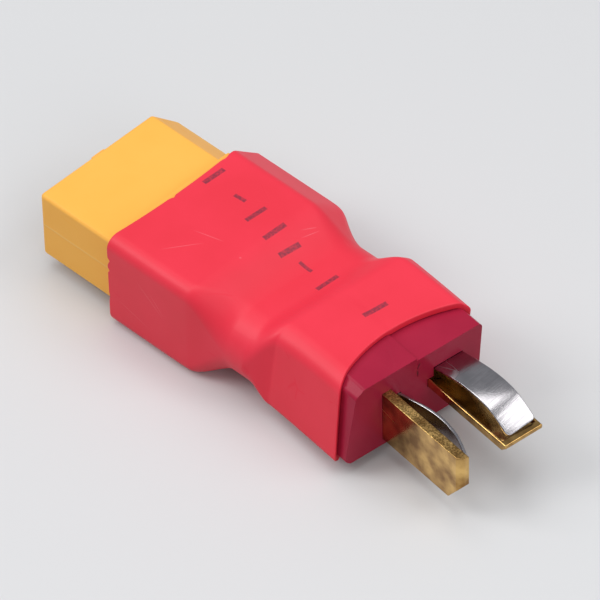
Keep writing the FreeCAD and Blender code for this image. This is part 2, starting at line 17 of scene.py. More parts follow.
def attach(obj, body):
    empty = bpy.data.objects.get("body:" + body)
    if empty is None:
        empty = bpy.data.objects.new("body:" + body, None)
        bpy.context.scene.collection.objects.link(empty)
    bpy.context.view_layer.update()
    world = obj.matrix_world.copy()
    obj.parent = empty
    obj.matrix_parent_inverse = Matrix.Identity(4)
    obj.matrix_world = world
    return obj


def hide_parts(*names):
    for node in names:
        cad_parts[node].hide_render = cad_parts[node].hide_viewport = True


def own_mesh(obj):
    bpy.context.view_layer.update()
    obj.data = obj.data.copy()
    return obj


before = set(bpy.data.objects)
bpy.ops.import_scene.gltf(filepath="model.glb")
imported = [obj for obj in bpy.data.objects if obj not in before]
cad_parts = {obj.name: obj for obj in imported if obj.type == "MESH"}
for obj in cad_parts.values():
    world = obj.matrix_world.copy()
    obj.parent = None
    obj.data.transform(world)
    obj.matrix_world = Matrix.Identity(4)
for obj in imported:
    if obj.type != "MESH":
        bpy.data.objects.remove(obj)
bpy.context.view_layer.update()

MM = 0.001
print("nodes:", ", ".join(sorted(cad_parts)))

# %% [markdown]
# ## Meshes from grids
#
# Almost every surface here is a grid: one direction runs along the piece and the other goes
# round it. The positions come out of numpy as one array, so the only thing left to do is to
# number the quads between neighbouring rows. A grid that closes on itself in a direction joins
# its last line back to its first.

# %% Turn a grid of points into an object


def grid_quads(rows, columns, wrap_rows=False, wrap_columns=False):
    """Quads of a grid: each joins point (i, j) to (i+1, j), (i+1, j+1) and (i, j+1)."""
    i = np.arange(rows if wrap_rows else rows - 1)
    j = np.arange(columns if wrap_columns else columns - 1)
    i, j = (a.ravel() for a in np.meshgrid(i, j, indexing="ij"))
    below, right = (i + 1) % rows, (j + 1) % columns
    return np.stack([i * columns + j, below * columns + j,
                     below * columns + right, i * columns + right], axis=1)


def object_from(name, points_mm, faces, material):
    """A smooth-shaded object whose mesh holds the points, given in millimetres."""
    mesh = bpy.data.meshes.new(name)
    mesh.from_pydata((np.asarray(points_mm).reshape(-1, 3) * MM).tolist(), [],
                     [list(map(int, face)) for face in faces])
    mesh.polygons.foreach_set("use_smooth", [True] * len(mesh.polygons))
    mesh.materials.append(material)
    mesh.update()
    made = bpy.data.objects.new(name, mesh)
    bpy.context.scene.collection.objects.link(made)
    print(f"{name}: {len(mesh.vertices)} points, {len(mesh.polygons)} faces")
    return made


# %% [markdown]
# ## Small shader effects shared by the finishes
#
# Plastic, rubbery tube and metal all need the same three things at this scale: a faint drift of
# colour, a fine grain that breaks up the highlights, and a few hairline scratches. Each is a
# node group with its own inputs, so that every finish can turn it up or down. On the gold, the
# drift is painted reflection: brown blotches that darken the plate.

# %% Helpers that place one node


def link(tree, source, target):
    """Joins one socket to another."""
    tree.links.new(source, target)


def node(tree, kind, **settings):
    """A new node with its properties set."""
    made = tree.nodes.new(kind)
    for key, value in settings.items():
        setattr(made, key, value)
    return made


def feed(tree, socket, value):
    """Puts a number, a colour or another node's output on an input."""
    if isinstance(value, bpy.types.NodeSocket):
        link(tree, value, socket)
    else:
        socket.default_value = value


def fed_node(tree, kind, inputs, **settings):
    """A new node with its inputs fed by name or by number."""
    made = node(tree, kind, **settings)
    for label, value in inputs.items():
        feed(tree, made.inputs[label], value)
    return made


def math_node(tree, operation, first, second=0.0, clamp=False):
    """The result of one arithmetic step on two numbers or outputs."""
    return fed_node(tree, "ShaderNodeMath", {0: first, 1: second}, operation=operation,
                    use_clamp=clamp).outputs[0]


def vector_node(tree, operation, first, second, output="Vector"):
    """The result of one step on two vectors; a dot product or a distance comes out as a Value."""
    return fed_node(tree, "ShaderNodeVectorMath", {0: first, 1: second},
                    operation=operation).outputs[output]


print("helpers for nodes are ready")

# %% Helpers for noise, ranges and mixes


def noise(tree, place, waves_per_metre, detail=2.0, output="Fac"):
    """A soft noise over the place, with this much finer detail in it."""
    inputs = {"Vector": place, "Scale": waves_per_metre, "Detail": detail}
    return fed_node(tree, "ShaderNodeTexNoise", inputs).outputs[output]


def spread(tree, value, start, end, low=0.0, high=1.0):
    """The value stretched so that start becomes low and end becomes high, and held there."""
    inputs = {"Value": value, "From Min": start, "From Max": end, "To Min": low, "To Max": high}
    return fed_node(tree, "ShaderNodeMapRange", inputs, clamp=True).outputs["Result"]


def stretched(tree, place, turn, scale):
    """The place turned and scaled, which draws out whatever is read there."""
    inputs = {"Vector": place, "Rotation": turn, "Scale": scale}
    return fed_node(tree, "ShaderNodeMapping", inputs).outputs["Vector"]


def height_of(tree, place):
    """The place's Z alone."""
    return fed_node(tree, "ShaderNodeSeparateXYZ", {0: place}).outputs["Z"]


def strongest(tree, values):
    """The largest of several values."""
    total = values[0]
    for value in values[1:]:
        total = math_node(tree, "MAXIMUM", total, value)
    return total


def nearness(tree, distance, half_width):
    """1 at no distance, falling evenly to 0 at the half width: one less their quotient."""
    return math_node(tree, "SUBTRACT", 1.0, math_node(tree, "DIVIDE", distance, half_width),
                     clamp=True)


# The numbers of a Mix node's sockets for each kind: the two that are mixed, and the result
MIX_SOCKETS = {"RGBA": (6, 7, 2), "FLOAT": (2, 3, 0)}


def blend(tree, kind, share, first, second):
    """The first value where the share is 0, the second where it is 1, a mix in between."""
    one, two, result = MIX_SOCKETS[kind]
    return fed_node(tree, "ShaderNodeMix", {0: share, one: first, two: second},
                    data_type=kind).outputs[result]


print("kinds of mix:", ", ".join(MIX_SOCKETS))

# %% Helpers for groups and colours
VECTOR, FLOAT, COLOR = "NodeSocketVector", "NodeSocketFloat", "NodeSocketColor"


def new_group(name, inputs, output=("Mask", FLOAT)):
    """An empty shader group that is given a Place and these inputs and puts out one thing, each
    a label and a kind. Returns the group, what it is given, and where its result goes."""
    group = bpy.data.node_groups.new(name, "ShaderNodeTree")
    for label, kind in [("Place", VECTOR)] + inputs:
        group.interface.new_socket(label, in_out="INPUT", socket_type=kind)
    group.interface.new_socket(output[0], in_out="OUTPUT", socket_type=output[1])
    start, end = group.nodes.new("NodeGroupInput"), group.nodes.new("NodeGroupOutput")
    return group, start.outputs, end.inputs[output[0]]


def place_group(tree, group, **inputs):
    """The group placed in a material, with its inputs set by name; returns its result."""
    named = {label.replace("_", " "): value for label, value in inputs.items()}
    return fed_node(tree, "ShaderNodeGroup", named, node_tree=group).outputs[0]


def srgb(red, green, blue):
    """The linear colour of a screen colour given from 0 to 255."""
    screen = np.array([red, green, blue]) / 255
    line = np.where(screen <= 0.04045, screen / 12.92, ((screen + 0.055) / 1.055) ** 2.4)
    return (*line.tolist(), 1.0)


print("mid grey in linear light:", round(srgb(128, 128, 128)[0], 3))

# %% The drift, scratch and grain groups

# The part of a noise's range that drifting colours are spread over. Scratches: how their paths
# bend (waves per metre, metres), how the cells whose borders they are turn and stretch, a line's
# share of its cell, and the patches that keep them. And the waves of the broad grain
DRIFT_FROM, DRIFT_TO = 0.35, 0.65
BEND_WAVES, BEND_BY = 90.0, 0.004
CELL_TURN, CELL_STRETCH = (0.3, 0.2, 0.7), (0.25, 1.0, 0.6)
LINE_SHARE, PATCH_WAVES, PATCH_LEVEL = 0.012, 260.0, 0.58
BROAD_WAVES = 350.0


def drift_group():
    """Colour drift: blends two colours by a soft noise, one blotch per given size."""
    group, given, result = new_group(
        "colour_drift", [("First", COLOR), ("Second", COLOR), ("Blotches per metre", FLOAT)],
        ("Colour", COLOR))
    blotches = noise(group, given["Place"], given["Blotches per metre"], detail=3.0)
    share = spread(group, blotches, DRIFT_FROM, DRIFT_TO)
    link(group, blend(group, "RGBA", share, given["First"], given["Second"]), result)
    return group


def scratch_group():
    """Hairline scratches: the thin borders of large stretched cells, kept only in patches."""
    group, given, result = new_group(
        "hair_scratches", [("Cells per metre", FLOAT), ("Amount", FLOAT)])
    place = given["Place"]
    bend = noise(group, place, BEND_WAVES, output="Color")
    bent = fed_node(group, "ShaderNodeVectorMath", {0: bend, 1: [BEND_BY] * 3, 2: place},
                    operation="MULTIPLY_ADD").outputs[0]
    cells = fed_node(group, "ShaderNodeTexVoronoi",
                     {"Vector": stretched(group, bent, CELL_TURN, CELL_STRETCH),
                      "Scale": given["Cells per metre"]}, feature="DISTANCE_TO_EDGE")
    line = spread(group, cells.outputs["Distance"], LINE_SHARE, 0.0)
    keep = math_node(group, "GREATER_THAN", noise(group, place, PATCH_WAVES), PATCH_LEVEL)
    kept = math_node(group, "MULTIPLY", line, keep)
    link(group, math_node(group, "MULTIPLY", kept, given["Amount"]), result)
    return group


def grain_group():
    """Surface grain: a fine noise added to a broad one, as a height."""
    group, given, result = new_group(
        "surface_grain", [("Grains per metre", FLOAT), ("Fine", FLOAT), ("Broad", FLOAT)],
        ("Height", FLOAT))
    fine = noise(group, given["Place"], given["Grains per metre"])
    broad = noise(group, given["Place"], BROAD_WAVES)
    total = math_node(group, "ADD", math_node(group, "MULTIPLY", fine, given["Fine"]),
                      math_node(group, "MULTIPLY", broad, given["Broad"]))
    link(group, total, result)
    return group


DRIFT, SCRATCHES, GRAIN = drift_group(), scratch_group(), grain_group()
print("effect groups:", DRIFT.name, SCRATCHES.name, GRAIN.name)

# %% [markdown]
# ## Marks at stated places
#
# The tube carries a row of print, here only plain ticks, and a few short scuffs. The yellow
# block shows the line where the halves of its mould met, drawn paler as a painted highlight, and
# the dark red block a slit coloured with painted shade. Each kind of mark is a mask: 1 inside
# the mark and 0 outside, worked out from the distance to a box, a line or a plane. A painted
# picture would do as well, but a mask stays sharp at any distance and needs no file.

# %% The tick, scuff and seam groups

# How far a tick reaches above and below its middle, and how soft its edge is, in metres
TICK_REACH, TICK_EDGE = 0.002, 0.00004


def tick_group():
    """A printed tick: inside a small box turned about Z, on the side of the piece it lies on."""
    group, given, result = new_group(
        "printed_tick", [("Centre", VECTOR), ("Turn", FLOAT), ("Half length", FLOAT),
                         ("Half width", FLOAT)])
    away = vector_node(group, "SUBTRACT", given["Place"], given["Centre"])
    turned = fed_node(group, "ShaderNodeVectorRotate", {"Vector": away, "Angle": given["Turn"]},
                      rotation_type="Z_AXIS").outputs[0]
    parts = fed_node(group, "ShaderNodeSeparateXYZ", {0: turned}).outputs
    beyond = [math_node(group, "SUBTRACT", math_node(group, "ABSOLUTE", parts[axis]), half)
              for axis, half in (("X", given["Half length"]), ("Y", given["Half width"]),
                                 ("Z", TICK_REACH))]
    link(group, spread(group, strongest(group, beyond), TICK_EDGE, -TICK_EDGE), result)
    return group


def scuff_group():
    """One short scuff: how near a point is to the line from Start to End. It fades to both ends
    as four times the share along the line times what is left of it."""
    group, given, result = new_group(
        "short_scuff", [("Start", VECTOR), ("End", VECTOR), ("Half width", FLOAT)])
    run = vector_node(group, "SUBTRACT", given["End"], given["Start"])
    away = vector_node(group, "SUBTRACT", given["Place"], given["Start"])
    share = math_node(group, "DIVIDE", vector_node(group, "DOT_PRODUCT", away, run, "Value"),
                      vector_node(group, "DOT_PRODUCT", run, run, "Value"), clamp=True)
    reached = fed_node(group, "ShaderNodeVectorMath", {0: run, "Scale": share},
                       operation="SCALE").outputs[0]
    off = vector_node(group, "DISTANCE", away, reached, "Value")
    ends = math_node(group, "MULTIPLY", share, math_node(group, "SUBTRACT", 1.0, share))
    faded = math_node(group, "MULTIPLY", nearness(group, off, given["Half width"]),
                      math_node(group, "MULTIPLY", ends, 4.0), clamp=True)
    link(group, faded, result)
    return group


def seam_group():
    """A mould seam: a fine line where a level plane meets the piece's surface."""
    group, given, result = new_group("mould_seam", [("Height", FLOAT), ("Half width", FLOAT)])
    above = math_node(group, "SUBTRACT", height_of(group, given["Place"]), given["Height"])
    away = math_node(group, "ABSOLUTE", above)
    link(group, nearness(group, away, given["Half width"]), result)
    return group


TICK, SCUFF, SEAM = tick_group(), scuff_group(), seam_group()
print("mark groups:", TICK.name, SCUFF.name, SEAM.name)

# %% [markdown]
# ## The finishes
#
# The real adapter has moulded plastic in yellow and dark red, a satin red tube, gold-plated
# blades, bright spring leaves and, inside, dull solder. Each finish starts from one plain shader
# with its fixed numbers on its own sockets. The groups feed only its colour, its roughness and
# its bump, so every finish is read the same way.

# %% One recipe for every finish
SCRATCH_CELLS, SCRATCH_AMOUNT = 320.0, 0.2
BUMP_DEPTH = 0.01 * MM


def finish(name, colours, blotches, roughness, grain, **fixed):
    """A material: two drifting colours, a roughness raised by scratches, and a grain bump. The
    grain is how many grains there are per metre and the heights of the fine and broad noise."""
    material = bpy.data.materials.new(name)
    material.use_nodes = True
    tree = material.node_tree
    shader = tree.nodes["Principled BSDF"]
    for label, value in fixed.items():
        shader.inputs[label.replace("_", " ")].default_value = value
    place = node(tree, "ShaderNodeTexCoord").outputs["Object"]
    link(tree, place_group(tree, DRIFT, Place=place, First=colours[0], Second=colours[1],
                           Blotches_per_metre=blotches), shader.inputs["Base Color"])
    scratches = place_group(tree, SCRATCHES, Place=place, Cells_per_metre=SCRATCH_CELLS,
                            Amount=SCRATCH_AMOUNT)
    link(tree, math_node(tree, "ADD", roughness, scratches, clamp=True),
         shader.inputs["Roughness"])
    per_metre, fine, broad = grain
    height = place_group(tree, GRAIN, Place=place, Grains_per_metre=per_metre, Fine=fine,
                         Broad=broad)
    relief = fed_node(tree, "ShaderNodeBump",
                      {"Distance": BUMP_DEPTH,
                       "Height": math_node(tree, "SUBTRACT", height, scratches)})
    link(tree, relief.outputs["Normal"], shader.inputs["Normal"])
    print("finish:", name)
    return material


sleeve_finish = finish(
    "sleeve_red", (srgb(238, 51, 72), srgb(232, 47, 66)), blotches=160.0, roughness=0.46,
    grain=(9000.0, 0.5, 0.9), Specular_IOR_Level=0.36)
shell_finish = finish(
    "shell_yellow", (srgb(255, 187, 83), srgb(253, 184, 79)), blotches=220.0, roughness=0.45,
    grain=(14000.0, 0.8, 0.3), Specular_IOR_Level=0.22)
housing_finish = finish(
    "housing_maroon", (srgb(168, 34, 62), srgb(158, 28, 56)), blotches=200.0, roughness=0.3,
    grain=(9000.0, 0.3, 0.6), Specular_IOR_Level=0.16)
# The gold's second, brown colour is painted reflection: dark blotches, as if a dark surround were
# mirrored in the plate.
gold_with_painted_reflection = finish(
    "gold_plate", (srgb(224, 184, 114), srgb(146, 108, 62)), blotches=620.0, roughness=0.14,
    grain=(12000.0, 0.5, 0.8), Metallic=1.0)
steel_finish = finish(
    "spring_steel", (srgb(196, 192, 194), srgb(172, 170, 172)), blotches=500.0, roughness=0.2,
    grain=(9000.0, 0.4, 0.5), Metallic=1.0)
solder_finish = finish(
    "solder_grey", (srgb(176, 176, 180), srgb(150, 150, 156)), blotches=700.0, roughness=0.38,
    grain=(6000.0, 0.6, 1.0), Metallic=1.0)

# %% [markdown]
# ## What use and making leave on a finish
#
# Print wears off, a knife and a heat gun leave scuffs on the tube, a stamped blade has one rough
# sheared edge, whose pits get painted shade, and a rolled leaf has fine brush lines. Each is laid
# over a finish that is there already: a mask decides where a new colour or roughness takes over,
# and it can raise or sink the bump too.

# %% Lay a mark over a finish


def only_node(material, kind):
    """The finish's only node of this kind."""
    return next(n for n in material.node_tree.nodes if n.bl_idname == kind)


def place_of(material):
    """The finish's object coordinates, which every mark shares."""
    return only_node(material, "ShaderNodeTexCoord").outputs["Object"]


def lay_over(material, label, mask, value):
    """Where the mask is 1, this value takes the place of what feeds the shader's input."""
    tree = material.node_tree
    target = only_node(material, "ShaderNodeBsdfPrincipled").inputs[label]
    kind = "RGBA" if label == "Base Color" else "FLOAT"
    link(tree, blend(tree, kind, mask, target.links[0].from_socket, value), target)


def lift(material, mask, height):
    """Raises the finish's bump by so much where the mask is 1, or sinks it if that is below 0."""
    tree = material.node_tree
    target = only_node(material, "ShaderNodeBump").inputs["Height"]
    raised = math_node(tree, "MULTIPLY", mask, height)
    link(tree, math_node(tree, "ADD", target.links[0].from_socket, raised), target)


def millimetres(*values):
    """A point given in millimetres, in metres."""
    return tuple(value * MM for value in values)


def line_mask(material, lines):
    """The mask of several short lines, each with its two ends and half its width in mm."""
    tree, place = material.node_tree, place_of(material)
    return strongest(tree, [
        place_group(tree, SCUFF, Place=place, Start=millimetres(*first), End=millimetres(*last),
                    Half_width=half_width * MM)
        for first, last, half_width in lines])


print("marks can be laid over", len(bpy.data.materials), "materials")

# %% Ticks and scuffs on the sleeve

# Each tick: its middle in millimetres, its turn in degrees, half its length and half its width
TICKS = (
    ((9.34, 2.14, 4.49), 88, 1.05, 0.22), ((12.46, 1.77, 4.49), 4, 0.55, 0.17),
    ((14.55, 1.36, 4.49), 86, 1.0, 0.2), ((16.85, 1.0, 4.4), 88, 1.1, 0.22),
    ((18.6, 0.8, 3.8), 84, 1.0, 0.21), ((20.3, 0.75, 3.2), 2, 0.6, 0.15),
    ((22.6, 0.7, 3.1), 86, 1.05, 0.2), ((27.7, 0.55, 3.9), 81, 1.1, 0.22))

# Each scuff: its two ends and half its width, in millimetres
SCUFFS = (
    ((16.9, -7.35, 4.35), (17.9, -7.95, 1.6), 0.05),
    ((17.15, -7.1, 4.2), (17.7, -7.6, 3.3), 0.04),
    ((11.2, -8.24, 2.1), (14.0, -8.24, -0.1), 0.05),
    ((12.6, -8.24, 1.7), (14.1, -8.24, 0.1), 0.04),
    ((17.9, 2.6, 4.1), (18.5, 3.9, 3.9), 0.07),
    ((18.4, 2.1, 3.95), (18.8, 3.9, 3.75), 0.05),
    ((20.2, 5.0, 2.96), (20.9, 4.8, 2.9), 0.05),
    ((12.3, -3.1, 4.49), (14.9, -2.4, 4.49), 0.05),
    ((11.9, -6.3, 4.49), (13.9, -3.5, 4.49), 0.05),
    ((16.85, -2.85, 4.45), (17.0, -2.7, 4.42), 0.1),
    ((24.3, -5.9, 3.1), (25.0, -5.4, 3.55), 0.08),
    ((9.1, -8.24, -1.3), (12.5, -8.24, -2.2), 0.04))
INK, WEAR_WAVES = srgb(112, 44, 62), 4600.0
SCUFFED, SCUFF_PALE, SCUFF_LIFT = srgb(250, 150, 160), 0.3, -0.6


def mark_sleeve(material):
    """Worn grey-red ticks on the top, and pale scuffs sunk a little into the tube."""
    tree, place = material.node_tree, place_of(material)
    ticks = strongest(tree, [
        place_group(tree, TICK, Place=place, Centre=millimetres(*middle),
                    Turn=math.radians(-turn), Half_length=half_length * MM,
                    Half_width=half_width * MM)
        for middle, turn, half_length, half_width in TICKS])
    wear = noise(tree, place, WEAR_WAVES, detail=4.0)
    kept = spread(tree, wear, start=0.3, end=0.6, low=0.45, high=0.85)
    lay_over(material, "Base Color", math_node(tree, "MULTIPLY", ticks, kept), INK)
    scuffs = line_mask(material, SCUFFS)
    lay_over(material, "Base Color", math_node(tree, "MULTIPLY", scuffs, SCUFF_PALE), SCUFFED)
    lift(material, scuffs, SCUFF_LIFT)


mark_sleeve(sleeve_finish)
print(len(TICKS), "ticks and", len(SCUFFS), "scuffs on", sleeve_finish.name)

# %% The yellow block's mould seam and the painted shade in the dark red block's slit

# Height and half width of the seam and the share of its painted highlight, and the path of the
# slit's painted shade between the two blades, in millimetres
SEAM_HEIGHT, SEAM_HALF_WIDTH, SEAM_HIGHLIGHT_SHARE, SEAM_LIFT = 0.1, 0.09, 0.55, 2.0
SLIT = ((33.25, -0.51, 2.95), (33.22, -0.76, 2.3), (33.22, -0.71, 1.53))
SLIT_HALF_WIDTH, SLIT_LIFT = 0.11, -4.0


def mark_shell(material):
    """A fine raised line round the block, drawn paler than the block as a painted highlight along
    it.
    """
    tree = material.node_tree
    seam = place_group(tree, SEAM, Place=place_of(material), Height=SEAM_HEIGHT * MM,
                       Half_width=SEAM_HALF_WIDTH * MM)
    # Painted highlight: the raised seam is drawn paler than the block.
    seam_highlight = math_node(tree, "MULTIPLY", seam, SEAM_HIGHLIGHT_SHARE)
    lay_over(material, "Base Color", seam_highlight, srgb(255, 214, 140))
    lift(material, seam, SEAM_LIFT)


def shade_housing_slit(material):
    """Painted shade in a thin curved groove, which is also sunk into the bump: a dark line drawn
    from each point of its path to the next.
    """
    slit_shade = line_mask(material, [(first, last, SLIT_HALF_WIDTH)
                                for first, last in zip(SLIT, SLIT[1:])])
    # Painted shade: the groove is coloured dark.
    lay_over(material, "Base Color", slit_shade, srgb(70, 10, 26))
    lift(material, slit_shade, SLIT_LIFT)


mark_shell(shell_finish)
shade_housing_slit(housing_finish)
print("seam on", shell_finish.name, "- slit on", housing_finish.name)

# %% The blade's sheared edge and the leaves' brush lines

# The sheared edge lies above this height in millimetres; its pits and its roughness
SHEARED_ABOVE, PIT_WAVES, PIT_LIFT, SHEARED_ROUGHNESS = 1.88, 7600.0, 2.6, 0.34

# Brush lines: waves per metre across and along them, and how the blade end is turned
BRUSH_ACROSS, BRUSH_ALONG, BRUSH_TURN, BRUSH_LIFT = 16000.0, 500.0, math.radians(7.2), 0.35


def mark_blade(material):
    """Over the sheared edge the plating is pitted and rougher, and painted shade darkens its pits.
    """
    tree, place = material.node_tree, place_of(material)
    above = math_node(tree, "GREATER_THAN", height_of(tree, place), SHEARED_ABOVE * MM)
    pits = noise(tree, place, PIT_WAVES, detail=3.0)
    lay_over(material, "Roughness", above, SHEARED_ROUGHNESS)
    lift(material, math_node(tree, "MULTIPLY", above, pits), PIT_LIFT)
    # Painted shade: the low parts of the pits are darkened to brown.
    painted_pit_shade = spread(tree, pits, start=0.56, end=0.44, high=0.68)
    pit_shade_on_edge = math_node(tree, "MULTIPLY", above, painted_pit_shade)
    lay_over(material, "Base Color", pit_shade_on_edge, srgb(84, 62, 30))


def brush(material):
    """Fine lines that run across a leaf: a noise drawn out along them, to lift and to darken."""
    tree = material.node_tree
    drawn = stretched(tree, place_of(material), (0.0, 0.0, BRUSH_TURN),
                      (BRUSH_ACROSS, BRUSH_ALONG, BRUSH_ALONG))
    lines = noise(tree, drawn, 1.0, detail=3.0)
    lift(material, lines, BRUSH_LIFT)
    dimmed = spread(tree, lines, start=0.35, end=0.7, high=0.4)
    lay_over(material, "Base Color", dimmed, srgb(128, 124, 128))


sheared_finish = gold_with_painted_reflection.copy()
sheared_finish.name = "gold_plate_sheared_edge"
mark_blade(sheared_finish)
brush(steel_finish)
print("pits on", sheared_finish.name, "- brush lines on", steel_finish.name)

# %% [markdown]
# ## Outlines that the sleeve was shrunk on
#
# The sleeve is a loose tube until it is heated. Then it draws tight round the yellow block and
# the dark red one, and sags into a waist where only two solder joints hold it out. So its
# section goes from the block's outline to the waist's and on to the dark red block's. Each is a
# polygon of eight corners in the same order, anticlockwise from the lower near corner, and each
# corner has its own radius: a tight tube rolls over an edge with a wider radius than the edge's.

# %% The inner outlines, which follow what the sleeve was shrunk on

# Corners (across, up) of the yellow block, the waist and the dark red block, in millimetres
BLOCK = np.array([(-7.8, -3.65), (-7.4, -4.05), (5.0, -4.05), (7.8, -1.25),
                  (7.8, 1.25), (5.0, 4.05), (-7.4, 4.05), (-7.8, 3.65)])
WAIST = np.array([(-7.35, -1.43), (-6.1, -2.68), (4.6, -2.68), (6.2, -1.08),
                  (6.2, 1.08), (4.6, 2.68), (-6.1, 2.68), (-7.35, 1.43)])
HOUSING = np.array([(-6.75, -2.9), (-6.25, -3.4), (5.55, -3.4), (6.05, -2.9),
                    (6.5, 3.0), (6.0, 3.5), (-4.8, 3.5), (-5.6, 3.0)])
BLOCK_ROUND, WAIST_ROUND, HOUSING_ROUND = np.full(8, 0.3), np.full(8, 1.7), np.full(8, 0.45)

# Along the sleeve: the yellow block's end, where the dark red one starts and how it is turned,
# both ends of the waist, how far the tube stays straight past a block, and its gap and wall
SHELL_END, PLUG_START, PLUG_TURN = 16.0, 25.25, math.radians(-7.2)
WAIST_FROM, WAIST_TO, OVERHANG = 20.725, 22.325, 0.45
GAP, WALL = 0.02, 0.42


def grown(corners, distance):
    """Moves every side of a polygon outward by the distance; new corners are where the moved
    sides cross."""
    side = np.roll(corners, -1, axis=0) - corners
    out = np.stack([side[:, 1], -side[:, 0]], axis=1) / np.hypot(*side.T)[:, None]
    level = (out * corners).sum(axis=1) + distance
    before, level_before = np.roll(out, 1, axis=0), np.roll(level, 1)
    cross = before[:, 0] * out[:, 1] - before[:, 1] * out[:, 0]
    return np.stack([(level_before * out[:, 1] - level * before[:, 1]) / cross,
                     (before[:, 0] * level - out[:, 0] * level_before) / cross], axis=1)


def plug_point(along, across, up):
    """A point of the blade end's own frame, turned and moved to its place."""
    c, s = math.cos(PLUG_TURN), math.sin(PLUG_TURN)
    return np.stack([PLUG_START + along * c - across * s, along * s + across * c,
                     up + 0 * along], axis=-1)


print("the dark red block starts at", plug_point(*np.zeros((3, 1)))[0].round(3).tolist())

# %% The outer outlines, with the wider rolls of a tight tube


def rolled(corners, near, far):
    """The outline grown by the tube's wall, with its near and far corners recut so that an arc of
    this radius fills each pair of them: the cut is 0.586 of the radius, two less root two."""
    outer = grown(corners, GAP + WALL)
    cut = 2 - math.sqrt(2)
    for pair, radius in (((0, 1), near), ((7, 6), near), ((3, 2), far), ((4, 5), far)):
        if radius:
            side, flat = pair
            inward = np.sign(outer[flat, 0])
            outer[side, 1] = np.sign(outer[flat, 1]) * (abs(outer[flat, 1]) - cut * radius)
            outer[flat, 0] = outer[side, 0] - inward * cut * radius
    return outer


# Radii of the rolls; and the tube lies loose on the far chamfers, its edges at this height
BLOCK_ROLL, WAIST_NEAR_ROLL, WAIST_FAR_ROLL = 1.15, 3.1, 3.0
LOOSE_EDGE = 1.85
BLOCK_OUTER = rolled(BLOCK, BLOCK_ROLL, 0)
BLOCK_OUTER[[3, 4], 1] = -LOOSE_EDGE, LOOSE_EDGE
WAIST_OUTER = rolled(WAIST, WAIST_NEAR_ROLL, WAIST_FAR_ROLL)
HOUSING_OUTER = rolled(HOUSING, 0, 0)
BLOCK_RADII = np.array([BLOCK_ROLL] * 2 + [0.9] * 4 + [BLOCK_ROLL] * 2)
WAIST_RADII = np.array([WAIST_NEAR_ROLL] * 2 + [WAIST_FAR_ROLL] * 4 + [WAIST_NEAR_ROLL] * 2)
HOUSING_RADII = np.array([0.6] * 4 + [0.74] * 2 + [1.5] * 2)
print("outer outline over the block:", BLOCK_OUTER.round(2).tolist())

# %% [markdown]
# ## The sleeve as one grid
#
# A row of the grid is a section across the sleeve, and its place along the sleeve is one number
# that counts the stretches: 0 to 1 is the block, 1 to 2 the slope down to the waist, 2 to 3 the
# waist, 3 to 4 the slope up and 4 to 5 the blade end. Rows and columns are worked out together,
# so a section's corners, its rounding and its turn are arrays with one entry per row.

# %% Round every corner of every section

# Points on each corner's arc, and on the straight rest of each of the eight sides
ARC_STEPS = 9
SIDE_STEPS = (2, 48, 8, 14, 8, 48, 2, 24)
LONGEST_ARCS = 0.98


def unit(vectors):
    """Vectors divided by their lengths."""
    return vectors / np.linalg.norm(vectors, axis=-1, keepdims=True)


def rounded_sections(corners, radii):
    """Sections with round corners: an arc of a corner's radius touches both of its sides, and the
    rest of each side stays straight. Where two arcs would want more of a side than there is, both
    shrink. Corners are (rows, 8, 2), the result (rows, columns, 2)."""
    back = unit(np.roll(corners, 1, axis=1) - corners)
    ahead = unit(np.roll(corners, -1, axis=1) - corners)
    half_turn = (np.pi - np.arccos((back * ahead).sum(axis=-1))) / 2
    taken = radii * np.tan(half_turn)
    length = np.linalg.norm(np.roll(corners, -1, axis=1) - corners, axis=-1)
    fit = np.minimum(1, LONGEST_ARCS * length / (taken + np.roll(taken, -1, axis=1)))
    radii = radii * np.minimum(fit, np.roll(fit, 1, axis=1))
    out, tangent = -unit(back + ahead), unit(ahead - back)
    centre = corners - out * (radii / np.cos(half_turn))[..., None]
    angle = (half_turn[..., None] * np.linspace(-1, 1, ARC_STEPS))[..., None]
    arcs = centre[:, :, None] + radii[..., None, None] * (
        np.cos(angle) * out[:, :, None] + np.sin(angle) * tangent[:, :, None])
    strips = []
    for k, steps in enumerate(SIDE_STEPS):
        share = (np.arange(1, steps + 1) / (steps + 1))[None, :, None]
        end, start = arcs[:, k, -1][:, None], arcs[:, (k + 1) % 8, 0][:, None]
        strips += [arcs[:, k], end + (start - end) * share]
    return np.concatenate(strips, axis=1)


print("points round a section:", 8 * ARC_STEPS + sum(SIDE_STEPS))

# %% Where the two rims are cut

# The front rim bows by so much over half the block's width, which gives the radius of its arc.
# The rear rim is given by its furthest point back, its radius and how far off centre it lies
FRONT_RIM, FRONT_BOW, BLOCK_HALF = 8.6, 0.45, 8.24
FRONT_RADIUS = (BLOCK_HALF ** 2 + FRONT_BOW ** 2) / (2 * FRONT_BOW)
REAR_RIM, REAR_RADIUS, REAR_SIDE = 4.7, 13.2, 0.8

# Nicks that the knife left in the front rim: place across and up, width and depth
RIM_NICKS = ((-1.55, 4.5, 0.16, 0.22), (-8.2, 2.2, 0.2, 0.28), (-8.2, 1.2, 0.13, 0.2),
             (4.2, 4.5, 0.3, 0.1), (-8.2, -1.6, 0.35, 0.08))


def front_rim(across, up):
    """X of the rim over the block: a wide arc whose middle lies furthest from the mating face,
    cut back a little by each nick."""
    rim = FRONT_RIM - FRONT_RADIUS + np.sqrt(FRONT_RADIUS ** 2 - across ** 2)
    for nick_across, nick_up, width, depth in RIM_NICKS:
        far = np.hypot(across - nick_across, up - nick_up) / width
        rim = rim + depth * np.exp(-far ** 2)
    return rim


def rear_rim(across):
    """The rim over the blade end, in that end's frame: a tighter arc, furthest back off centre."""
    return REAR_RIM + REAR_RADIUS - np.sqrt(REAR_RADIUS ** 2 - (across - REAR_SIDE) ** 2)


print("radii of the rims:", round(FRONT_RADIUS, 1), "and", REAR_RADIUS, "mm")

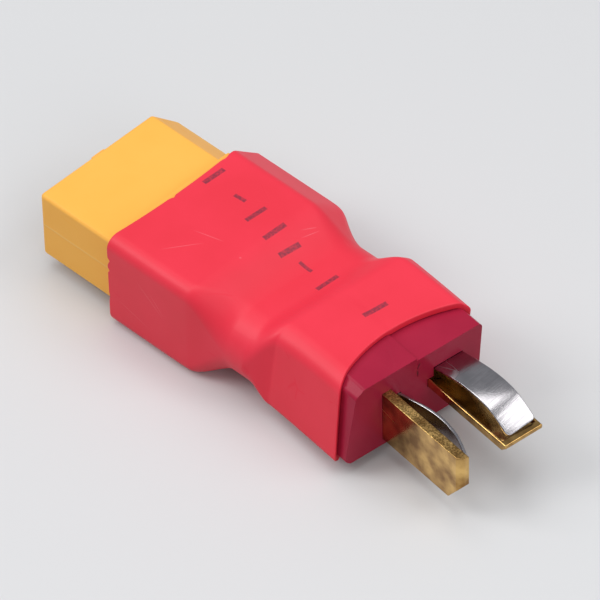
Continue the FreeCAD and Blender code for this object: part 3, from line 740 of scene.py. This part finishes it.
# %% [markdown]
# ## How a tube sags between two hoops
#
# A shrunk tube doesn't slope evenly from a wide end to a narrow one. It folds over the wide
# piece's edge at once, drops steeply and then levels out. A spline through hand-placed sections
# could copy that, but two short formulas are easier to tune: one that bends a straight line at
# a fold, and a power that shapes what comes after it.

# %% How far down the tube is at each place

# Places of the fold near and far, how wide it is, and the power by which the tube levels out;
# then the same for the climb to the blade end, which is over at this place
NEAR_FOLD, FAR_FOLD, DOWN_FOLD_WIDTH, DOWN_POWER = 1.03, 1.17, 0.07, 1.8
CLIMB_END, UP_FOLD_WIDTH, UP_POWER = 3.97, 0.24, 1.45
FAR_CORNERS = np.array([False, False, True, True, True, True, False, False])


def ease(share):
    """A share from 0 to 1 that starts and ends level: three squares less two cubes."""
    share = np.clip(share, 0, 1)
    return share * share * (3 - 2 * share)


def fold(distance, width):
    """Zero before a fold and the distance beyond it, with the bend itself this wide: the width
    times the logarithm of one plus the exponential of the distance over the width."""
    return width * np.logaddexp(0, distance / width)


def sag_down(place, start):
    """From 0 on the block to 1 on the waist: past the fold, what is left of the fall is a power
    of what is left of the way."""
    left = 1 - np.clip(fold(place - start, DOWN_FOLD_WIDTH) / (2 - start), 0, 1)
    return 1 - left ** DOWN_POWER


def sag_up(place):
    """From 0 on the waist to 1 on the blade end, the same shape the other way round."""
    left = np.clip(fold(CLIMB_END - place, UP_FOLD_WIDTH) / (CLIMB_END - 3), 0, 1)
    return (1 - left) ** UP_POWER


print("halfway down the near side has done", sag_down(1.5, NEAR_FOLD).round(2), "of its fall")

# %% Sections of the sleeve at any rows

# The step in the dark red block's top: its height and its place across, how steeply the tube
# follows it, above which height, how soon past the edge, and how much of it the wall hides
TOP_STEP, TOP_STEP_PLACE, TOP_STEP_SLOPE, TOP_STEP_ABOVE = 0.2, 0.2, 2.5, 2.6
TOP_STEP_SOON, TOP_STEP_HIDDEN = 3, 0.8


def carried(block, waist, housing, down, rise):
    """One quantity carried from the block to the waist and on to the blade end: each is a
    weighted mean of the two before it."""
    return (block * (1 - down) + waist * down) * (1 - rise) + housing * rise


def stepped(across, up, past_edge, share):
    """Heights lowered over the step in the dark red block's top, mostly on the inner face."""
    lowered = (ease((across - TOP_STEP_PLACE) * TOP_STEP_SLOPE + 0.5)
               * ease(up - TOP_STEP_ABOVE) * ease(past_edge * TOP_STEP_SOON))
    return up - TOP_STEP * lowered * (1 - TOP_STEP_HIDDEN * share)


def sleeve_rows(place, share, pull):
    """Points (rows, columns, 3): rows at these places along the sleeve, at this share of the way
    from its inner face to its outer one, and pulled back from a rim by so many millimetres."""
    share = share[:, None, None]
    side_fall = np.where(FAR_CORNERS, sag_down(place[:, None], FAR_FOLD),
                         sag_down(place[:, None], NEAR_FOLD))
    falls = np.stack([side_fall, ease(place - 1)[:, None] + 0 * side_fall], axis=2)
    rises = np.stack([sag_up(place), ease(place - 3)], axis=1)[:, None]
    inner = carried(*(grown(outline, GAP) for outline in (BLOCK, WAIST, HOUSING)), falls, rises)
    outer = carried(BLOCK_OUTER, WAIST_OUTER, HOUSING_OUTER, falls, rises)
    inner_radii, outer_radii = (
        carried(*radii, falls[..., 0], rises[..., 1])
        for radii in ((BLOCK_ROUND, WAIST_ROUND, HOUSING_ROUND),
                      (BLOCK_RADII, WAIST_RADII, HOUSING_RADII)))
    radii = inner_radii * (1 - share[..., 0]) + outer_radii * share[..., 0]
    flat = rounded_sections(inner * (1 - share) + outer * share, radii)
    front, rear = np.clip(1 - place, 0, 1)[:, None], np.clip(place - 4, 0, 1)[:, None]
    across, up = flat[..., 0], stepped(flat[..., 0], flat[..., 1], rear, share[..., 0])

    meet = plug_point(np.array(-OVERHANG), np.array(0.0), np.array(0.0))
    stations = [1, 2, 3, 4]
    x = np.interp(place, stations, [SHELL_END + OVERHANG, WAIST_FROM, WAIST_TO, meet[0]])[:, None]
    y = np.interp(place, stations, [0, 0, 0, meet[1]])[:, None]
    turn = PLUG_TURN / 2 * (np.clip(place - 1, 0, 1) + np.clip(place - 3, 0, 1))[:, None]
    along = (-(SHELL_END + OVERHANG - front_rim(across, up) - pull[:, None]) * front
             + (rear_rim(across) + OVERHANG - pull[:, None]) * rear)
    return np.stack([x + along * np.cos(turn) - across * np.sin(turn),
                     y + along * np.sin(turn) + across * np.cos(turn), up], axis=-1)


waist_row = sleeve_rows(np.array([2.5]), np.ones(1), np.zeros(1))
print("the tube's waist is", round(float(np.ptp(waist_row[..., 2])), 2), "mm high")

# %% Build the sleeve: outer face, rear lip, inner face, front lip

# Rows along each face, closest where the tube bends, and the few rows that round a lip: their
# share of the wall, and how far they and the ends of both faces are pulled back from the rim
OUTER = np.concatenate([[0, 0.006, 0.02], np.linspace(0.04, 1, 40), np.linspace(1, 2, 44)[1:],
                        np.linspace(2, 3, 14)[1:], np.linspace(3, 4, 34)[1:],
                        np.linspace(4, 4.97, 40)[1:], [4.985, 5]])
INNER = np.concatenate([[5, 4.98], np.linspace(4.9, 0.1, 40), [0.02, 0]])
LIP_SHARE = np.array([0.93, 0.8, 0.2, 0.06])
LIP_PULL = np.array([0.015, 0.0, 0.0, 0.02])
FACE_PULL = 0.06


def build_sleeve():
    """The closed sleeve: the rows run out along the outer face, over the rear lip, back along the
    inner face and over the front lip, and the last row joins the first."""
    place = np.concatenate([OUTER, np.full(len(LIP_SHARE), 5.0), INNER,
                            np.zeros(len(LIP_SHARE))])
    share = np.concatenate([np.ones(len(OUTER)), LIP_SHARE,
                            np.zeros(len(INNER)), LIP_SHARE[::-1]])
    pull = np.concatenate([np.full(len(OUTER), FACE_PULL), LIP_PULL,
                           np.full(len(INNER), FACE_PULL), LIP_PULL[::-1]])
    points = sleeve_rows(place, share, pull)
    rows, columns = points.shape[:2]
    faces = grid_quads(rows, columns, wrap_rows=True, wrap_columns=True)[:, ::-1]
    return object_from("shrink_sleeve_tube", points, faces, sleeve_finish)


sleeve = build_sleeve()
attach(sleeve, "adapter")
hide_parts("shrink_sleeve")

# %% [markdown]
# ## The spring leaves
#
# Each blade carries a thin bowed strip that comes out of the dark red block and ends behind the
# lip at the blade's tip. Its bow isn't a plain arc: it rises slowly, and past the top it bends
# more and runs straight down to the tip. The heights below are read along the blade, a smooth
# curve joins them, and each section stands square to that curve.

# %% A bowed strip as a grid

# A strip's width and thickness, and the heights of each leaf's outer face at these places
LEAF_WIDTH, LEAF_THICK = 2.7, 0.25
LEAF_PLACES = np.array([6.6, 7.3, 8.0, 9.0, 10.0, 11.2, 12.2, 13.2, 14.1, 14.8, 15.5, 16.3])
FLAT_LEAF_UP = np.array([0.12, 0.54, 0.89, 1.16, 1.37, 1.56, 1.62, 1.58, 1.4, 1.1, 0.68, 0.18])
UPRIGHT_LEAF_UP = np.array([0.12, 0.52, 0.86, 1.12, 1.36, 1.54, 1.58, 1.48, 1.3, 1.07, 0.78,
                            0.42])

# Rows and columns of a strip, the extra rows that close its tip, the radius of its tip's corners
# and of its long edges, and from where and over what length it twists and drifts
LEAF_ROWS, LEAF_COLUMNS, TIP_ROWS = 90, 40, np.array([0.03, 0.05])
TIP_ROUND, EDGE_ROUND = 0.35, 0.07
TWIST_FROM, TWIST_LENGTH = 8.0, 8.3


def smooth_curve(places, heights, at):
    """A smooth curve through the heights: between two places it is the cubic that keeps the
    heights and the slopes at both, and each place takes its slope from its neighbours."""
    slopes = np.gradient(heights, places)
    k = np.clip(np.searchsorted(places, at) - 1, 0, len(places) - 2)
    width = places[k + 1] - places[k]
    t = (at - places[k]) / width
    return ((2 * t ** 3 - 3 * t ** 2 + 1) * heights[k]
            + (t ** 3 - 2 * t ** 2 + t) * width * slopes[k]
            + (3 * t ** 2 - 2 * t ** 3) * heights[k + 1]
            + (t ** 3 - t ** 2) * width * slopes[k + 1])


def leaf_points(heights, twist, drift):
    """The strip in its blade's frame (along, across, up). Its outer face follows the heights,
    and its section, square to the curve, is a rectangle with quarter circles for corners. It
    twists with the square of the run and drifts with the run. Its tip is cut round."""
    along = np.linspace(LEAF_PLACES[0], LEAF_PLACES[-1], LEAF_ROWS)
    along = np.append(along, along[-1] + TIP_ROWS)
    top = smooth_curve(LEAF_PLACES, heights, np.minimum(along, LEAF_PLACES[-1]))
    slope = np.arctan(np.gradient(top[:LEAF_ROWS], along[:LEAF_ROWS]))
    slope = np.append(slope, [slope[-1]] * len(TIP_ROWS))
    run = np.clip((along - TWIST_FROM) / TWIST_LENGTH, 0, 1)
    left = np.clip((along[-1] - along) / TIP_ROUND, 0, 1)
    half = LEAF_WIDTH / 2 - TIP_ROUND * (1 - np.sqrt(1 - (1 - left) ** 2))
    turn = np.linspace(0, 2 * np.pi, LEAF_COLUMNS, endpoint=False)
    sideways = (np.sign(np.cos(turn)) * (half[:, None] - EDGE_ROUND)
                + EDGE_ROUND * np.cos(turn))
    depth = (np.sign(np.sin(turn)) * (LEAF_THICK / 2 - EDGE_ROUND) + EDGE_ROUND * np.sin(turn)
             - LEAF_THICK / 2)[None, :]
    roll = math.radians(twist) * run[:, None] ** 2
    up = top[:, None] + depth * np.cos(slope)[:, None] + sideways * np.sin(roll)
    return np.stack([along[:, None] - depth * np.sin(slope)[:, None],
                     sideways * np.cos(roll) + drift * run[:, None], up], axis=-1)


def build_leaf(name, local, to_plug):
    """The strip carried to its blade, with a flat face closing each end."""
    rows, columns = local.shape[:2]
    plug = to_plug(local)
    points = plug_point(plug[..., 0], plug[..., 1], plug[..., 2])
    faces = list(grid_quads(rows, columns, wrap_columns=True)[:, ::-1])
    faces.append(list(range(columns)))
    faces.append(list(range(rows * columns - 1, (rows - 1) * columns - 1, -1)))
    return object_from(name, points, faces, steel_finish)


# Where the trays lie in the blade end: the upright one's side and middle, the flat one's middle
# and height
UPRIGHT_SIDE, UPRIGHT_MIDDLE, FLAT_MIDDLE, FLAT_HEIGHT = -2.25, -0.33, 3.2, 0.64
flat_leaf = build_leaf(
    "flat_leaf_strip", leaf_points(FLAT_LEAF_UP, twist=5.0, drift=0.12),
    lambda p: np.stack([p[..., 0], FLAT_MIDDLE + p[..., 1], FLAT_HEIGHT + p[..., 2]], axis=-1))
upright_leaf = build_leaf(
    "upright_leaf_strip", leaf_points(UPRIGHT_LEAF_UP, twist=0.0, drift=-0.15),
    lambda p: np.stack([p[..., 0], UPRIGHT_SIDE + p[..., 2], UPRIGHT_MIDDLE - p[..., 1]],
                       axis=-1))

# %% [markdown]
# ## The leaves on the adapter
#
# When the adapter is plugged in, the other half presses each leaf flat against its blade. Its
# foot stays where it is, so the leaf isn't moved but squashed. Here each new leaf only joins the
# adapter in place of the imported one and gets a mesh of its own.

# %% Join each leaf to the adapter in place of the imported one

# The share of its height that a pressed leaf keeps, and where the point lies that it is squashed
# toward: halfway along the leaf, and so far under the foot of its bow
LEAF_KEEP, LEAF_MIDDLE, UNDER_LEAF = 0.55, 11.4, 0.26
for piece, joint, cad, side, height in (
        (flat_leaf, "flat_leaf_press", "flat_leaf", FLAT_MIDDLE, FLAT_HEIGHT - UNDER_LEAF),
        (upright_leaf, "upright_leaf_press", "upright_leaf", UPRIGHT_SIDE - UNDER_LEAF,
         UPRIGHT_MIDDLE)):
    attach(piece, "adapter")
    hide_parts(cad)
    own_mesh(piece)
    print(piece.name, "flattens with", joint, "and keeps", LEAF_KEEP, "of its height")

# %% [markdown]
# ## Edges and finishes of the solid pieces
#
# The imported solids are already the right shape, but their edges are perfectly sharp, and real
# moulded or stamped edges catch a line of light. A weld joins each solid's loose triangles, and
# a small bevel then rounds its edges, both live on the piece.

# %% Give every remaining solid its finish and its edge

# How near two points are welded, and the least angle at which an edge counts as sharp
WELD_WITHIN, SHARP_FROM = 0.001 * MM, math.radians(30.0)


def soften(piece, width_mm):
    """Welds the piece's triangles and bevels its sharp edges by this width."""
    weld = piece.modifiers.new("weld", "WELD")
    weld.merge_threshold = WELD_WITHIN
    bevel = piece.modifiers.new("edge", "BEVEL")
    bevel.width = width_mm * MM
    bevel.segments = 2
    bevel.limit_method = "ANGLE"
    bevel.angle_limit = SHARP_FROM
    bevel.harden_normals = True


# Each piece's finish and the width of its softened edges in millimetres
FINISHES = {
    "socket_shell": (shell_finish, 0.06), "plug_housing": (housing_finish, 0.05),
    "near_contact": (gold_with_painted_reflection, 0.04), "far_contact": (gold_with_painted_reflection, 0.04),
    "near_solder": (solder_finish, 0.0), "far_solder": (solder_finish, 0.0),
    "upright_blade": (sheared_finish, 0.07), "flat_blade": (gold_with_painted_reflection, 0.1)}
for name, (material, width) in FINISHES.items():
    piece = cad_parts[name]
    piece.data.materials.clear()
    piece.data.materials.append(material)
    if width:
        soften(piece, width)
    print(name, "gets", material.name)

# %% [markdown]
# ## The floor
#
# The adapter lies on one plain pale sheet, and the light that this throws back up would wash out
# its sides. So the sheet's material asks what kind of ray has met it: the camera and mirrors see
# the pale colour, and light on its way to another surface leaves with a darker one.

# %% The floor that the adapter lies on
FLOOR_LEVEL, FLOOR_HALF, FLOOR_ROUGHNESS = -4.5, 1500.0, 0.6
FLOOR_SEEN, FLOOR_BOUNCED = srgb(214, 214, 214), srgb(168, 168, 168)


def floor_material():
    """A plain sheet: the seen colour, with the bounced one laid over it for diffuse rays."""
    material = bpy.data.materials.new("floor_pale")
    material.use_nodes = True
    shader = only_node(material, "ShaderNodeBsdfPrincipled")
    shader.inputs["Roughness"].default_value = FLOOR_ROUGHNESS
    ray = node(material.node_tree, "ShaderNodeLightPath").outputs["Is Diffuse Ray"]
    link(material.node_tree, blend(material.node_tree, "RGBA", ray, FLOOR_SEEN, FLOOR_BOUNCED),
         shader.inputs["Base Color"])
    return material


floor_corners = np.array([(-1, -1), (1, -1), (1, 1), (-1, 1)]) * FLOOR_HALF
floor = object_from("floor", np.column_stack([floor_corners, np.full(4, FLOOR_LEVEL)]),
                    [(0, 1, 2, 3)], floor_material())

# %% [markdown]
# ## Lamps and camera
#
# Four wide lamps keep the shadows soft: the largest overhead does most of the work, one to the
# left gives the near edges their line of light, one to the right shows in the flat leaf's tip,
# and a weak one in front fills in. Their sum is set so that a colour on a face that looks up
# renders about as it is written. The camera stands where the photograph's camera stood.

# %% World and lamps

# Each lamp: its place and the side of its square in millimetres, and its power in watts
LAMPS = {"overhead": ((-40, -15, 430), 340, 0.77),
         "left_softbox": ((-200, -230, 290), 190, 0.64),
         "right_softbox": ((222, 142, 285), 200, 0.34),
         "front_softbox": ((290, -90, 170), 200, 0.2)}
LAMP_TARGET = Vector((20, 0, 0)) * MM
WORLD_COLOUR, WORLD_STRENGTH = (0.9, 0.93, 1.0, 1.0), 0.36


def add_lamp(name, place_mm, size_mm, watts):
    """A square lamp at a place, facing the middle of the adapter."""
    lamp = bpy.data.lights.new(name, "AREA")
    lamp.size = size_mm * MM
    lamp.energy = watts
    holder = bpy.data.objects.new(name, lamp)
    holder.location = Vector(place_mm) * MM
    holder.rotation_euler = (LAMP_TARGET - holder.location).to_track_quat("-Z", "Y").to_euler()
    bpy.context.scene.collection.objects.link(holder)
    print(f"{name}: {watts} W, {size_mm} mm wide")


world = bpy.data.worlds.new("studio")
world.use_nodes = True
background = world.node_tree.nodes["Background"].inputs
background["Color"].default_value = WORLD_COLOUR
background["Strength"].default_value = WORLD_STRENGTH
bpy.context.scene.world = world
for name, (place, size, watts) in LAMPS.items():
    add_lamp(name, place, size, watts)

# %% The photograph's camera

# Its angles in degrees, its focal length and the picture's width in pixels, the scale at the
# object, and its shift beside the origin in millimetres
CAMERA_AZIMUTH, CAMERA_ELEVATION, CAMERA_ROLL = 44.926, 45.028, -1.349
FOCAL_PIXELS, PICTURE_PIXELS, PIXELS_PER_MM = 6562.3, 600, 13.0219
SHIFT_RIGHT, SHIFT_UP = 14.6496, -9.6256


def photo_camera():
    """The camera: its axes from the three angles, its distance from the scale in the picture."""
    azimuth, elevation, roll = (math.radians(a) for a in
                                (CAMERA_AZIMUTH, CAMERA_ELEVATION, CAMERA_ROLL))
    back = Vector((math.sin(azimuth) * math.cos(elevation),
                   -math.cos(azimuth) * math.cos(elevation), math.sin(elevation)))
    level = Vector((math.cos(azimuth), math.sin(azimuth), 0))
    upright = back.cross(level)
    right = math.cos(roll) * level + math.sin(roll) * upright
    up = math.cos(roll) * upright - math.sin(roll) * level
    place = back * (FOCAL_PIXELS / PIXELS_PER_MM) + right * SHIFT_RIGHT + up * SHIFT_UP
    data = bpy.data.cameras.new("photo_view")
    data.lens = FOCAL_PIXELS / PICTURE_PIXELS * data.sensor_width
    data.clip_start = 0.01
    camera = bpy.data.objects.new("photo_view", data)
    turn = Matrix((right, up, back)).transposed().to_4x4()
    camera.matrix_world = Matrix.Translation(place * MM) @ turn
    bpy.context.scene.collection.objects.link(camera)
    print(f"{camera.name}: lens {data.lens:.1f} mm, {place.length:.0f} mm from the origin")
    return camera


bpy.context.scene.camera = photo_camera()
bpy.context.scene.view_settings.view_transform = "Standard"
